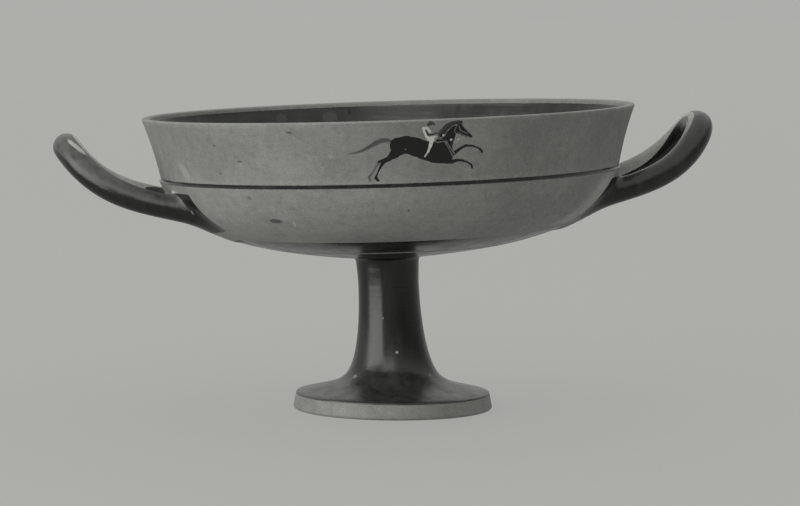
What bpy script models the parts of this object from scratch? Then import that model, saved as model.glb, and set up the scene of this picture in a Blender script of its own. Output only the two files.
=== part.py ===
"""A lip-cup kylix: a shallow offset-lip bowl with two rising loop handles, on a tall stem and a disc foot.

Metres, +Z up. The cup stands on z = 0, with its handles along X and its front towards -Y. The origin is under
the middle of its overall box. Like many hand-thrown cups it leans: the stem and bowl tip a little towards -X.
"""
import math

import bpy

# Foot
FOOT_RADIUS = 0.0427          # widest, near the table
FOOT_TOP_RADIUS = 0.0411      # at the upper edge of the foot's side
FOOT_EDGE = 0.0072            # height of the foot's side
FOOT_LOWER_ROUND = 0.0012     # its lower corner
FOOT_UPPER_ROUND = 0.0004     # its upper corner
FOOT_RISE = 0.0062            # from the side's upper edge to where the stem starts
HOLLOW_RADIUS = 0.0132        # cone under the foot
HOLLOW_DEPTH = 0.0300

# Stem
STEM_LENGTH = 0.0520          # from the foot's top to the bowl's underside
STEM_FLARE_RADIUS = 0.0215    # where it spreads into the foot
STEM_WAIST_RADIUS = 0.0130    # its narrowest
STEM_WAIST_DROP = 0.0104      # the waist is this far below the bowl
STEM_NECK_RADIUS = 0.0134     # just below the fillet under the bowl
STEM_TOP_RADIUS = 0.0148      # where it meets the bowl
STEM_FILLET = 0.0030
STEM_SHIFT = -0.0029          # how far its top stands to the side of the foot's middle

# Bowl and lip, along the bowl's own axis
BOWL_RISE = 0.0358            # from the stem's top to the shoulder under the lip
SHOULDER_RADIUS = 0.0984
SHOULDER_STEP = 0.0007        # the lip is set back this far from the shoulder
LIP_HEIGHT = 0.0268
RIM_RADIUS = 0.1050
LIP_WALL = 0.0036
RIM_OUTER_ROUND = 0.0007      # the rim is cut off flat, its outer corner crisper than its inner one
RIM_INNER_ROUND = 0.0013
BOWL_WALL = 0.0046
FLOOR_THICKNESS = 0.0062      # at the middle, over the stem
BOWL_SHIFT = -0.0006          # where the bowl's axis crosses the stem's top, from the foot's middle
BOWL_SETTLE = 0.0054          # height over which the bowl's underside eases from the stem's middle to its own
BOWL_LEAN = math.radians(2.25)

# Handles, in the bowl's frame
LEFT_REACH = 0.1369           # from the bowl's axis to the middle of the bar at the tip
RIGHT_REACH = 0.1345
HANDLE_ROOT_REACH = 0.0800    # where the bar starts, inside the bowl's wall
HANDLE_HALF_WIDTH = 0.0260    # from the middle of the loop to the middle of the bar
HANDLE_ROOT_DROP = 0.0128     # root below the shoulder
HANDLE_RISE = 0.0288          # tip above root
BAR_TIP_RADIUS = 0.0058
BAR_ROOT_RADIUS = 0.0045
ROOT_SPREAD = 0.0016          # added to the bar's radius where it grows out of the bowl
TAIL_LENGTH = 0.0110          # each root runs on under the bowl this far, thinning into its wall
TAIL_DROP = 0.0082
TAIL_RADIUS = 0.0020

# Bends: where a curve's inner control points lie, as shares of its run and of its rise
FOOT_TOP_BEND = ((0.59, 0.42), (0.85, 0.60))
STEM_BEND = ((0.71, 0.10), (1.00, 0.52))
NECK_BEND = ((0.10, 0.80),)
BOWL_BEND = ((0.572, 0.147), (0.883, 0.317))
LIP_BEND = ((0.33, 0.50),)
HOLLOW_SECTION = ((0.35, 1.00), (0.62, 0.45), (1.00, 0.00))     # shares of its radius and depth
LOOP_FULLNESS = 0.75          # 1 makes a handle a half ellipse in plan, less makes it squarer
CLIMB_SHARES = ((1, 0.380), (2, 0.145), (5, 0.475))             # powers of the way out, and their shares
ROOT_SPREAD_POWER = 6

# How finely round things are faceted
TURNS = 48
BAR_SIDES = 12
BAR_STEPS = 26
TAIL_STEPS = 3

FOOT_TOP = FOOT_EDGE + FOOT_RISE
STEM_TOP = FOOT_TOP + STEM_LENGTH
SHOULDER = STEM_TOP + BOWL_RISE
RIM = SHOULDER + LIP_HEIGHT
ROOT_HEIGHT = SHOULDER - HANDLE_ROOT_DROP


def bend(start, end, pulls, steps):
    """Points along a Bezier curve after its start, as (radius, height)."""
    run = end[0] - start[0]
    rise = end[1] - start[1]
    points = [start] + [(start[0] + run * r, start[1] + rise * h) for r, h in pulls] + [end]
    degree = len(points) - 1
    made = []
    for i in range(1, steps + 1):
        t = i / steps
        weights = [math.comb(degree, k) * t ** k * (1 - t) ** (degree - k) for k in range(degree + 1)]
        made.append(tuple(sum(w * p[c] for w, p in zip(weights, points)) for c in range(2)))
    return made


def arc(centre, radius, start, end, steps):
    """Points along an arc, its angles in degrees from outwards towards up."""
    made = []
    for i in range(steps + 1):
        a = math.radians(start + (end - start) * i / steps)
        made.append((centre[0] + radius * math.cos(a), centre[1] + radius * math.sin(a)))
    return made


def foot_outline():
    """From the tip of the hollow, across the resting ring and up to the stem."""
    hollow = [(HOLLOW_RADIUS * r, HOLLOW_DEPTH * h) for r, h in HOLLOW_SECTION]
    lower = arc((FOOT_RADIUS - FOOT_LOWER_ROUND, FOOT_LOWER_ROUND), FOOT_LOWER_ROUND, -90, 0, 3)
    upper = [(FOOT_TOP_RADIUS + FOOT_UPPER_ROUND, FOOT_EDGE - FOOT_UPPER_ROUND), (FOOT_TOP_RADIUS, FOOT_EDGE)]
    return hollow + lower + upper + bend(upper[-1], (STEM_FLARE_RADIUS, FOOT_TOP), FOOT_TOP_BEND, 4)


def stem_outline():
    """From the foot's top to the bowl's underside."""
    waist = (STEM_WAIST_RADIUS, STEM_TOP - STEM_WAIST_DROP)
    neck = (STEM_NECK_RADIUS, STEM_TOP - STEM_FILLET)
    flare = bend((STEM_FLARE_RADIUS, FOOT_TOP), waist, STEM_BEND, 7)
    return flare + [neck] + bend(neck, (STEM_TOP_RADIUS, STEM_TOP), NECK_BEND, 3)


def bowl_outline():
    """From the stem's top over the shoulder and up the lip to the crown of the rim."""
    under = bend((STEM_TOP_RADIUS, STEM_TOP), (SHOULDER_RADIUS, SHOULDER), BOWL_BEND, 11)
    lip_base = (SHOULDER_RADIUS - SHOULDER_STEP, SHOULDER + SHOULDER_STEP)
    corner = RIM - RIM_OUTER_ROUND
    lip = bend(lip_base, (RIM_RADIUS, corner), LIP_BEND, 5)
    crown = arc((RIM_RADIUS - RIM_OUTER_ROUND, corner), RIM_OUTER_ROUND, 40, 90, 2)
    return under + [lip_base] + lip + crown


def cavity_outline():
    """What the cup holds: from the middle of the floor up the inside and out past the rim."""
    floor = (STEM_TOP_RADIUS, STEM_TOP + FLOOR_THICKNESS)
    shoulder = (SHOULDER_RADIUS - BOWL_WALL, SHOULDER)
    inner_rim = RIM_RADIUS - LIP_WALL
    corner = RIM - RIM_INNER_ROUND
    bowl = bend(floor, shoulder, BOWL_BEND, 10)
    lip = bend(shoulder, (inner_rim, corner), LIP_BEND, 5)
    crown = arc((inner_rim + RIM_INNER_ROUND, corner), RIM_INNER_ROUND, 155, 110, 2)
    past_rim = (inner_rim + RIM_INNER_ROUND, RIM + RIM_INNER_ROUND)
    return [floor] + bowl + lip + crown + [past_rim]


def lean_over(x, y, height, foot_x, lean):
    """A point of the bowl's frame once its axis leans and crosses the stem's top at foot_x."""
    above = height - STEM_TOP
    return (foot_x + x * math.cos(lean) - above * math.sin(lean), y,
            STEM_TOP + x * math.sin(lean) + above * math.cos(lean))


def stand_in_bowl(x, y, height):
    """Where a point drawn in the upright bowl's frame stands on the finished cup."""
    return lean_over(x, y, height, BOWL_SHIFT, BOWL_LEAN)


def stand(x, y, height):
    """Where a point of the upright turned outline stands: level foot, bending stem, leaning bowl."""
    if height >= STEM_TOP:
        settled = min(1.0, (height - STEM_TOP) / BOWL_SETTLE)
        return lean_over(x, y, height, STEM_SHIFT + (BOWL_SHIFT - STEM_SHIFT) * settled, BOWL_LEAN)
    grown = max(0.0, (height - FOOT_TOP) / STEM_LENGTH)
    lean = BOWL_LEAN * grown
    return (STEM_SHIFT * grown + x * math.cos(lean), y, height + x * math.sin(lean))


def solid_from_rings(name, rings):
    """A closed body from rings of as many points each, its two ends capped."""
    points = [p for ring in rings for p in ring]
    count = len(rings[0])
    faces = []
    for i in range(len(rings) - 1):
        for j in range(count):
            k = (j + 1) % count
            faces.append((i * count + j, i * count + k, (i + 1) * count + k, (i + 1) * count + j))
    faces.append(tuple(reversed(range(count))))
    faces.append(tuple((len(rings) - 1) * count + j for j in range(count)))
    mesh = bpy.data.meshes.new(name)
    mesh.from_pydata([(x - BOX_MIDDLE, y, z) for x, y, z in points], [], faces)
    body = bpy.data.objects.new(name, mesh)
    bpy.context.collection.objects.link(body)
    mesh.shade_smooth()
    mesh.set_sharp_from_angle(angle=math.radians(35))
    return body


def turned(name, outline, place):
    """A body of revolution whose outline runs from its lower middle to its upper middle."""
    angles = [2 * math.pi * j / TURNS for j in range(TURNS)]
    rings = []
    for radius, height in outline:
        rings.append([place(radius * math.cos(a), radius * math.sin(a), height) for a in angles])
    return solid_from_rings(name, rings)


def loop_point(side, reach, angle):
    """The bar's middle and radius at an angle round the loop: a U in plan, steeper towards its tip."""
    out = max(0.0, math.cos(angle)) ** LOOP_FULLNESS
    across = math.copysign(abs(math.sin(angle)) ** LOOP_FULLNESS, angle)
    climb = sum(share * out ** power for power, share in CLIMB_SHARES)
    middle = (side * (HANDLE_ROOT_REACH + (reach - HANDLE_ROOT_REACH) * out), HANDLE_HALF_WIDTH * across,
              ROOT_HEIGHT + HANDLE_RISE * climb)
    radius = BAR_ROOT_RADIUS + (BAR_TIP_RADIUS - BAR_ROOT_RADIUS) * out
    return middle, radius + ROOT_SPREAD * (1 - out) ** ROOT_SPREAD_POWER


def loop_path(side, reach):
    """The whole bar from tail to tail, as middles and radii."""
    loop = [loop_point(side, reach, math.pi * (i / BAR_STEPS - 0.5)) for i in range(BAR_STEPS + 1)]
    tail = []
    for i in range(1, TAIL_STEPS + 1):
        run = i / TAIL_STEPS
        radius = (BAR_ROOT_RADIUS + ROOT_SPREAD) * (1 - run) + TAIL_RADIUS * run
        tail.append((side * (HANDLE_ROOT_REACH - TAIL_LENGTH * run), ROOT_HEIGHT - TAIL_DROP * run, radius))
    front = [((x, -HANDLE_HALF_WIDTH, z), radius) for x, z, radius in reversed(tail)]
    back = [((x, HANDLE_HALF_WIDTH, z), radius) for x, z, radius in tail]
    return front + loop + back


def handle(name, side, reach):
    """A round bar swept along the loop."""
    path = loop_path(side, reach)
    rings = []
    for i, (middle, radius) in enumerate(path):
        before = path[max(0, i - 1)][0]
        after = path[min(len(path) - 1, i + 1)][0]
        along = [b - a for a, b in zip(before, after)]
        size = math.hypot(*along)
        along = [c / size for c in along]
        flat = math.hypot(along[0], along[1])
        sideways = (along[1] / flat, -along[0] / flat, 0.0)
        upward = (-along[2] * along[0] / flat, -along[2] * along[1] / flat, flat)
        ring = []
        for j in range(BAR_SIDES):
            a = -2 * math.pi * j / BAR_SIDES
            wide = radius * math.cos(a)
            tall = radius * math.sin(a)
            point = [m + wide * s + tall * u for m, s, u in zip(middle, sideways, upward)]
            ring.append(stand_in_bowl(*point))
        rings.append(ring)
    return solid_from_rings(name, rings)


def combine(body, tool, operation):
    """Join a helper body to the cup, or cut it away."""
    tool.hide_render = True
    tool.display_type = "WIRE"
    step = body.modifiers.new(tool.name, "BOOLEAN")
    step.operation = operation
    step.object = tool


def fired_clay():
    """Clay with a glossy black slip, as one plain finish."""
    made = bpy.data.materials.new("fired_clay")
    made.use_nodes = True
    shader = made.node_tree.nodes["Principled BSDF"]
    shader.inputs["Base Color"].default_value = (0.20, 0.20, 0.18, 1.0)
    shader.inputs["Roughness"].default_value = 0.45
    shader.inputs["Metallic"].default_value = 0.0
    return made


def tip_end(side, reach):
    """How far a handle's tip reaches along X."""
    middle, radius = loop_point(side, reach, 0.0)
    return stand_in_bowl(*middle)[0] + side * radius


def build():
    for old in list(bpy.data.objects):
        bpy.data.objects.remove(old, do_unlink=True)
    kylix = turned("kylix", foot_outline() + stem_outline() + bowl_outline(), stand)
    kylix.data.materials.append(fired_clay())
    combine(kylix, handle("left_handle", -1, LEFT_REACH), "UNION")
    combine(kylix, handle("right_handle", 1, RIGHT_REACH), "UNION")
    combine(kylix, turned("cavity", cavity_outline(), stand_in_bowl), "DIFFERENCE")


BOX_MIDDLE = (tip_end(-1, LEFT_REACH) + tip_end(1, RIGHT_REACH)) / 2
build()
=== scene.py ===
"""Looks of a lip-cup kylix: its fine surface and its paint, with light and camera. Metres, +Z up."""

import math

import bmesh
import bpy
import numpy as np
from mathutils import Matrix, Vector


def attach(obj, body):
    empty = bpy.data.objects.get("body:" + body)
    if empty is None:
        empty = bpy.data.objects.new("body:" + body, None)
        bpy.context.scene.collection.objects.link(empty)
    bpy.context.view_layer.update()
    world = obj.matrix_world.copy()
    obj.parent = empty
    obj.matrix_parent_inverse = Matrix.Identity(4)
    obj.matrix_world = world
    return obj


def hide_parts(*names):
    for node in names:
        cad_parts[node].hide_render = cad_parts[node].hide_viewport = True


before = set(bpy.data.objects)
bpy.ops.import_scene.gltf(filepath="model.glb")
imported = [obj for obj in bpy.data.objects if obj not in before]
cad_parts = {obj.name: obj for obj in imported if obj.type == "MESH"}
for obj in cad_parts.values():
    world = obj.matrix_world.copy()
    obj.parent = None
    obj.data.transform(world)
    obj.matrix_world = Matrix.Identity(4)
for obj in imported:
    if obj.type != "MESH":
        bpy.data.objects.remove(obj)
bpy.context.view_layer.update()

# The cup's sizes, as the solid has them
FOOT_RADIUS = 0.0427
FOOT_TOP_RADIUS = 0.0411
FOOT_EDGE = 0.0072
FOOT_LOWER_ROUND = 0.0012
FOOT_UPPER_ROUND = 0.0004
FOOT_RISE = 0.0062
HOLLOW_RADIUS = 0.0132
HOLLOW_DEPTH = 0.0300
STEM_LENGTH = 0.0520
STEM_FLARE_RADIUS = 0.0215
STEM_WAIST_RADIUS = 0.0130
STEM_WAIST_DROP = 0.0104
STEM_NECK_RADIUS = 0.0134
STEM_TOP_RADIUS = 0.0148
STEM_FILLET = 0.0030
STEM_SHIFT = -0.0029
BOWL_RISE = 0.0358
SHOULDER_RADIUS = 0.0984
SHOULDER_STEP = 0.0007
LIP_HEIGHT = 0.0268
RIM_RADIUS = 0.1050
LIP_WALL = 0.0036
RIM_OUTER_ROUND = 0.0007
RIM_INNER_ROUND = 0.0013
BOWL_WALL = 0.0046
FLOOR_THICKNESS = 0.0062
BOWL_SHIFT = -0.0006
BOWL_SETTLE = 0.0054
BOWL_LEAN = math.radians(2.25)
LEFT_REACH = 0.1369
RIGHT_REACH = 0.1345
HANDLE_ROOT_REACH = 0.0800
HANDLE_HALF_WIDTH = 0.0260
HANDLE_ROOT_DROP = 0.0128
HANDLE_RISE = 0.0288
BAR_TIP_RADIUS = 0.0058
BAR_ROOT_RADIUS = 0.0045
ROOT_SPREAD = 0.0016
TAIL_LENGTH = 0.0110
TAIL_DROP = 0.0082
TAIL_RADIUS = 0.0020

# Bends: where a curve's inner control points lie, as shares of its run and of its rise
FOOT_CORNER_BEND = ((0.0, 0.6),)
FOOT_TOP_BEND = ((0.59, 0.42), (0.85, 0.60))
STEM_BEND = ((0.71, 0.10), (1.00, 0.52))
NECK_BEND = ((0.10, 0.80),)
BOWL_BEND = ((0.572, 0.147), (0.883, 0.317))
SHOULDER_BEND = ((0.05, 0.5), (0.8, 0.6))
LIP_BEND = ((0.33, 0.50),)
CROWN_START = 15  # degrees from outwards at which the rounding of the rim starts
HOLLOW_SECTION = ((0.0, 1.00), (0.35, 1.00), (0.62, 0.45), (1.00, 0.00))
LOOP_FULLNESS = 0.75
CLIMB_SHARES = ((1, 0.380), (2, 0.145), (5, 0.475))
ROOT_SPREAD_POWER = 6

FOOT_TOP = FOOT_EDGE + FOOT_RISE
STEM_TOP = FOOT_TOP + STEM_LENGTH
SHOULDER = STEM_TOP + BOWL_RISE
RIM = SHOULDER + LIP_HEIGHT
ROOT_HEIGHT = SHOULDER - HANDLE_ROOT_DROP

# How finely the surface is meshed
TURNS = 200
BAR_SIDES = 32
BAR_STEPS = 120
TAIL_STEPS = 12
FLOOR_SIDES = 96
FLOOR_RADII = tuple(0.5 * 2 ** i for i in range(7))
# Stretches that each part of the cup's outline is cut into
STEPS = {"hollow": 3, "resting_ring": 5, "foot_round": 6, "foot_side": 6, "foot_corner": 3, "foot_top": 14,
         "flare": 26, "neck": 4, "stem_fillet": 5, "bowl": 56, "shoulder": 5, "lip": 14, "crown": 5,
         "floor": 5, "inner_bowl": 30, "inner_lip": 12, "inner_crown": 6}
RING_STOPS = (-1.2, -0.8, 0.8, 1.2)  # points set beside the bare ring's edges, as shares of its half width
STOP_MARGIN = 0.02  # share of a stretch, at its ends, that gets no point of its own
BEND_SOFTNESS = 0.0060  # stretch of the bar over which it turns
CUT_ROUNDS = 3  # rounds of cuts in the edges near the handles' roots
FIGURE_CUTS = 8  # cuts in each edge under the painted figure
ROOT_EDGE = 0.0012  # longest edge near the handles' roots

# Modelling
ROOT_FILLET = 0.0042  # reach of the smeared clay where a handle meets the bowl
ROOT_FILLET_BELOW = 0.0056  # its reach under the root
FILLET_CHANGE = 0.0030  # how far above and below the root it grows
CUT_MARGIN = 1.2  # how far out the mesh is cut finer and moved, as shares of that reach
SMEAR_MARGIN = 1.1
SMEAR_ROUNDS = 4
EVENING = 0.5  # how far each point goes towards its neighbours' middle in a round
SETTLE_STEPS = 2
LEAST_SLOPE = 0.25  # least squared slope that settling counts with
WALL_MIDDLE = 0.0020  # from the inside of the wall to where the handles are cut off within it

# Paint: where the black slip and the bare clay meet, in the upright cup's heights and radii
LINE_HALF_WIDTH = 0.00095  # the black line under the lip
LINE_HEIGHT = SHOULDER + 0.0006
UNDERSIDE_GLOSS_TOP = 0.0777  # black below this on the bowl
RING_RADIUS = 0.0553  # thin bare ring on the underside
RING_HALF_WIDTH = 0.0016
INNER_BAND = 0.0027  # bare band from the rim's crown down the inside
FOOT_GLOSS_LAP = 0.0008  # the black laps over the foot's upper corner
HOLLOW_GLOSS_SHARE = 0.98  # how far out the hollow under the foot is black
TONDO_RADIUS = 0.0100  # bare disc in the middle of the floor
TONDO_CIRCLE = 0.0055  # black circle on it, with a dot in its middle
TONDO_CIRCLE_HALF = 0.0006
TONDO_DOT = 0.0012
PANEL_MIDDLE = math.radians(52)  # bare panel round a handle's bar, from the loop's inside towards up
PANEL_MIDDLE_BEHIND = math.radians(48)  # the same on the arms behind
PANEL_STOPS = (0.0, 0.5, 1.0)  # where its half widths are given: at the tip, halfway and at the roots
PANEL_HALVES = np.radians((14, 28, 38))
PANEL_HALVES_BEHIND = np.radians((14, 44, 53))
ROOT_COLLAR = 0.0012  # black slip round a root on the bowl
ROOT_COLLAR_BELOW = 0.0010  # how much wider it is under the root
TAIL_COLLAR_LOSS = 0.0050  # the black round a bar ends within the length of its tail
PATCH_HALF_WIDTH = 0.0385  # black round a handle's roots on the bowl
PATCH_TOP = SHOULDER - 0.0035
PATCH_FOOT = SHOULDER - 0.0212
PATCH_CORNER = 0.0022  # how much higher its lower corners are
PATCH_REACH = 0.060  # the patches lie farther out than this
ROOT_PANEL_HALF = 0.0190  # bare panel on the bowl between a handle's roots
ROOT_PANEL_FOOT = SHOULDER - 0.0140
TURNED_SLIP_REACH = ROOT_FILLET * 0.7  # how far off the turned surface its own slip counts
ROOT_SLIP_REACH = ROOT_FILLET * 2
SLIP_EDGE = 0.0001  # softness of the slip's edge
SLIP_WOBBLE = 0.0004  # how much its edge wanders

# Camera, as fitted to the photograph
IMAGE_WIDTH = 800
FOCAL_PIXELS = 3061.7
SENSOR = 36.0
CAMERA_DISTANCE = 1.3083
CAMERA_ASIDE = 0.0026
CAMERA_HEIGHT = 0.1741
CAMERA_TURN = math.radians(7.57)
CAMERA_PITCH = math.radians(4.692)
CAMERA_ROLL = math.radians(0.483)

# Measures of the working
ON_SURFACE = 0.0002  # what counts as lying on a surface
PROBE = 1e-5  # step with which a slope is measured
SLACK = 1e-6
TINY = 1e-9
TOO_SMALL = 4e-6  # an edge this short is closed up
FAR = 0.05  # a mask's value where there is no paint anywhere near
FIGURE_FAR = 100.0  # the same for the figure's masks, in millimetres
FIGURE_HALF = 31.0  # the figure lies this near the middle of the front, in millimetres
SHARP_ANGLE = math.radians(35)

# Tones, as shares of light that a surface scatters
CLAY_DARK = 0.21
CLAY_LIGHT = 0.28
SLIP_BLACK = 0.009
SLIP_THIN = 0.028
# tone of the thinned slip: wear, and a painted sheen on the foot's top and the handles' upper sides
SLIP_WORN_AND_SHEEN = 0.085
HORSE_BLACK = 0.004
WASH = 0.042
DUSK = 0.022
LINE_LIGHT = 0.30
ADDED_WHITE = 0.56
FOOT_SHADE = 0.86  # the clay's lightness in places, against the bowl's
LIP_SHADE = 0.86
INNER_SHADE = 0.84
PANEL_PAINTED_LIGHT = ((1.75, 1.75), (1.10, 1.90))  # painted light: the handles' bare panels made lighter where light falls on them; left and right handle: its front arm and the one behind
PANEL_LIGHT_BLEND = 0.0100
RIM_LIGHT_WIDTH = 0.0140  # painted rim light: paler strip beside the black round the right roots, where light from behind on the right falls on the bowl
RIM_LIGHT_EDGE = (2 / 3, 4 / 3)  # where its side fades, as shares of its half width
RIM_LIGHT_LIFT = 0.55
RIM_LIGHT_FADE = 0.0040
GLINT_STRIP = 0.0016  # painted highlight: paler strip over the line under the lip, where the lip's base catches the light
GLINT_LIFT = 0.12
FOOT_THIN_AND_SHEEN = 0.50  # how far the slip is thinned and paled on the foot, and on each handle's upper side: worn slip, and a painted sheen where light falls
FOOT_THIN_AND_SHEEN_FADE = 0.0040
HANDLE_THIN_AND_SHEEN = (0.85, 0.12)
THIN_AND_SHEEN_EDGE = 0.15
FLOOR_TONE = 0.06
FLOOR_GLOW = 0.326
BACKGROUND = 0.427
DIM_SIDE = (0.7, -0.7, 0.0)  # where the surroundings are darkest, seen from the camera's side
WALL_BRIGHT = 0.52  # surroundings at the horizon behind the cup
WALL_DIM = 0.18
CEILING = 0.85
GROUND = 0.34
WALL_TURN = (-0.5, 0.6)  # where, from bright to dim, as the cosine of the angle with the dim side
CEILING_EDGE = (0.25, 0.60)  # where the wall turns into the ceiling, as the sine of the height
HORIZON = 0.04
RED_LEFT = 0.99  # red and blue left in each grey
BLUE_LEFT = 0.955

# Noises of the fired surface: scale, detail, stretch along each axis, roughness
NOISES = {
    "mottle": (38.0, 4.0, None, 0.55),
    "blotches": (260.0, 4.0, None, 0.65),
    "grain": (1500.0, 2.0, None, 0.7),
    "wheel": (60.0, 3.0, (0.5, 0.5, 16.0), 0.55),
    "streaks": (160.0, 3.0, (1.0, 1.0, 0.2), 0.55),
    "worn": (900.0, 3.0, None, 0.55),
}
MOTTLE_RANGE = (0.3, 0.7)  # the noise's values between which the clay goes from dark to light
# Tones over the mottled clay: noise, the values at which one starts and is full, its cover, the tone
CLAY_LAYERS = (
    ("wheel", 0.35, 0.75, 0.35, CLAY_DARK),
    ("blotches", 0.52, 0.72, 0.55, CLAY_DARK * 0.75),
    ("blotches", 0.46, 0.28, 0.50, CLAY_LIGHT * 1.15),
    ("grain", 0.52, 0.75, 0.45, CLAY_DARK * 0.6),
    ("grain", 0.44, 0.22, 0.45, CLAY_LIGHT * 1.5),
)
STREAK_RANGE = (0.45, 0.8)
THIN_AND_SHEEN_RANGE = (0.35, 0.6, 0.45, 1.0)
# The figure's paints in the order of laying: where the edge starts and is full in millimetres, cover, tone
FIGURE_PAINTS = {
    "wash": (0.12, -0.5, 0.85, WASH),
    "horse": (0.06, -0.06, 1.0, HORSE_BLACK),
    "dusk": (0.12, -0.25, 0.9, DUSK),
    "lines": (0.16, -0.1, 0.85, LINE_LIGHT),
    "white": (0.08, -0.1, 0.95, ADDED_WHITE),
}
FIGURE_WOBBLE = 0.35  # how much the paints' edges wander, in millimetres
MARK_WOBBLE = 1.6  # how ragged a mark of wear is, and its edge, as shares of its size
MARK_EDGE = (1.15, 0.85)
SURFACE_RANGE = (0.3, 0.7)  # the noises' values between which roughness changes
CLAY_ROUGHNESS = (0.50, 0.62)
SLIP_ROUGHNESS = (0.15, 0.30)
THIN_ROUGHNESS = 0.2  # what thin slip adds
SURFACE_IOR = 1.5
WHEEL_RELIEF = 0.6
GRAIN_RELIEF = 0.12
RELIEF_STRENGTH = 0.25
RELIEF_DEPTH = 0.0004
FLOOR_ROUGHNESS = 0.9
# Soft lights: azimuth from the camera's side towards the left, elevation, distance, width, height, watts
LIGHTS = {
    "window": (54, 9, 1.7, 1.66, 1.20, 19),
    "skylight": (10, 31, 1.7, 1.00, 0.60, 3.2),
}
LIGHT_AIM = 0.06  # height that they look at


def bend(start, end, pulls, steps):
    """Points along a Bezier curve after its start, as (radius, height)."""
    run = end[0] - start[0]
    rise = end[1] - start[1]
    points = [start] + [(start[0] + run * r, start[1] + rise * h) for r, h in pulls] + [end]
    degree = len(points) - 1
    made = []
    for i in range(1, steps + 1):
        t = i / steps
        weights = [math.comb(degree, k) * t ** k * (1 - t) ** (degree - k) for k in range(degree + 1)]
        made.append(tuple(sum(w * p[c] for w, p in zip(weights, points)) for c in range(2)))
    return made


def arc(centre, radius, start, end, steps):
    """Points along an arc, its angles in degrees from outwards towards up."""
    made = []
    for i in range(steps + 1):
        a = math.radians(start + (end - start) * i / steps)
        made.append((centre[0] + radius * math.cos(a), centre[1] + radius * math.sin(a)))
    return made


def straight(start, end, steps):
    """Points along a straight stretch after its start."""
    return [tuple(a + (b - a) * i / steps for a, b in zip(start, end)) for i in range(1, steps + 1)]


def foot_outline():
    """From the tip of the hollow, across the resting ring and up to the stem."""
    section = [(HOLLOW_RADIUS * r, HOLLOW_DEPTH * h) for r, h in HOLLOW_SECTION]
    hollow = []
    for start, end in zip(section, section[1:]):
        hollow += straight(start, end, STEPS["hollow"])
    centre = (FOOT_RADIUS - FOOT_LOWER_ROUND, FOOT_LOWER_ROUND)
    lower = arc(centre, FOOT_LOWER_ROUND, -90, 0, STEPS["foot_round"])
    ring = straight(hollow[-1], lower[0], STEPS["resting_ring"])[:-1]
    upper = (FOOT_TOP_RADIUS + FOOT_UPPER_ROUND, FOOT_EDGE - FOOT_UPPER_ROUND)
    side = straight(lower[-1], upper, STEPS["foot_side"])
    corner = (FOOT_TOP_RADIUS, FOOT_EDGE)
    rounded = bend(upper, corner, FOOT_CORNER_BEND, STEPS["foot_corner"])
    top = bend(corner, (STEM_FLARE_RADIUS, FOOT_TOP), FOOT_TOP_BEND, STEPS["foot_top"])
    return hollow + ring + lower + side + rounded + top


def stem_outline():
    """From the foot's top to the bowl's underside."""
    waist = (STEM_WAIST_RADIUS, STEM_TOP - STEM_WAIST_DROP)
    neck = (STEM_NECK_RADIUS, STEM_TOP - STEM_FILLET)
    flare = bend((STEM_FLARE_RADIUS, FOOT_TOP), waist, STEM_BEND, STEPS["flare"])
    rise = straight(waist, neck, STEPS["neck"])
    return flare + rise + bend(neck, (STEM_TOP_RADIUS, STEM_TOP), NECK_BEND, STEPS["stem_fillet"])


def with_stops(outline, axis, stops):
    """The outline with a point added wherever its radius (axis 0) or height (axis 1) passes a stop."""
    made = [outline[0]]
    for start, end in zip(outline, outline[1:]):
        change = end[axis] - start[axis]
        shares = [(stop - start[axis]) / change for stop in stops if change != 0]
        for share in sorted(shares):
            if STOP_MARGIN < share < 1 - STOP_MARGIN:
                made.append(tuple(a + (b - a) * share for a, b in zip(start, end)))
        made.append(end)
    return made


def underside_outline():
    """From the stem's top to the shoulder."""
    bowl = bend((STEM_TOP_RADIUS, STEM_TOP), (SHOULDER_RADIUS, SHOULDER), BOWL_BEND, STEPS["bowl"])
    ring = [RING_RADIUS + RING_HALF_WIDTH * share for share in RING_STOPS]
    return with_stops(with_stops(bowl, 0, ring), 1, (UNDERSIDE_GLOSS_TOP,))


def lip_outline():
    """Over the shoulder and up the lip to the crown of the rim."""
    lip_base = (SHOULDER_RADIUS - SHOULDER_STEP, SHOULDER + SHOULDER_STEP)
    corner = RIM - RIM_OUTER_ROUND
    step = bend((SHOULDER_RADIUS, SHOULDER), lip_base, SHOULDER_BEND, STEPS["shoulder"])
    lip = bend(lip_base, (RIM_RADIUS, corner), LIP_BEND, STEPS["lip"])
    centre = (RIM_RADIUS - RIM_OUTER_ROUND, corner)
    crown = arc(centre, RIM_OUTER_ROUND, CROWN_START, 90, STEPS["crown"])
    return step + lip + crown


def inner_outline():
    """From the rim's inner edge down the inside to the middle of the floor."""
    floor = (STEM_TOP_RADIUS, STEM_TOP + FLOOR_THICKNESS)
    shoulder = (SHOULDER_RADIUS - BOWL_WALL, SHOULDER)
    inner_rim = RIM_RADIUS - LIP_WALL
    corner = RIM - RIM_INNER_ROUND
    middle = straight((0.0, floor[1]), floor, STEPS["floor"])
    bowl = bend(floor, shoulder, BOWL_BEND, STEPS["inner_bowl"])
    lip = bend(shoulder, (inner_rim, corner), LIP_BEND, STEPS["inner_lip"])
    centre = (inner_rim + RIM_INNER_ROUND, corner)
    crown = arc(centre, RIM_INNER_ROUND, 180 - CROWN_START, 90, STEPS["inner_crown"])
    return list(reversed(middle + bowl + lip + crown))


def lean_over(points, foot_x, lean):
    """Points of the upright cup once the bowl's axis leans and crosses the stem's top at foot_x."""
    x, y, height = points.T
    above = height - STEM_TOP
    return np.stack([foot_x + x * np.cos(lean) - above * np.sin(lean), y,
                     STEM_TOP + x * np.sin(lean) + above * np.cos(lean)], -1)


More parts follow.
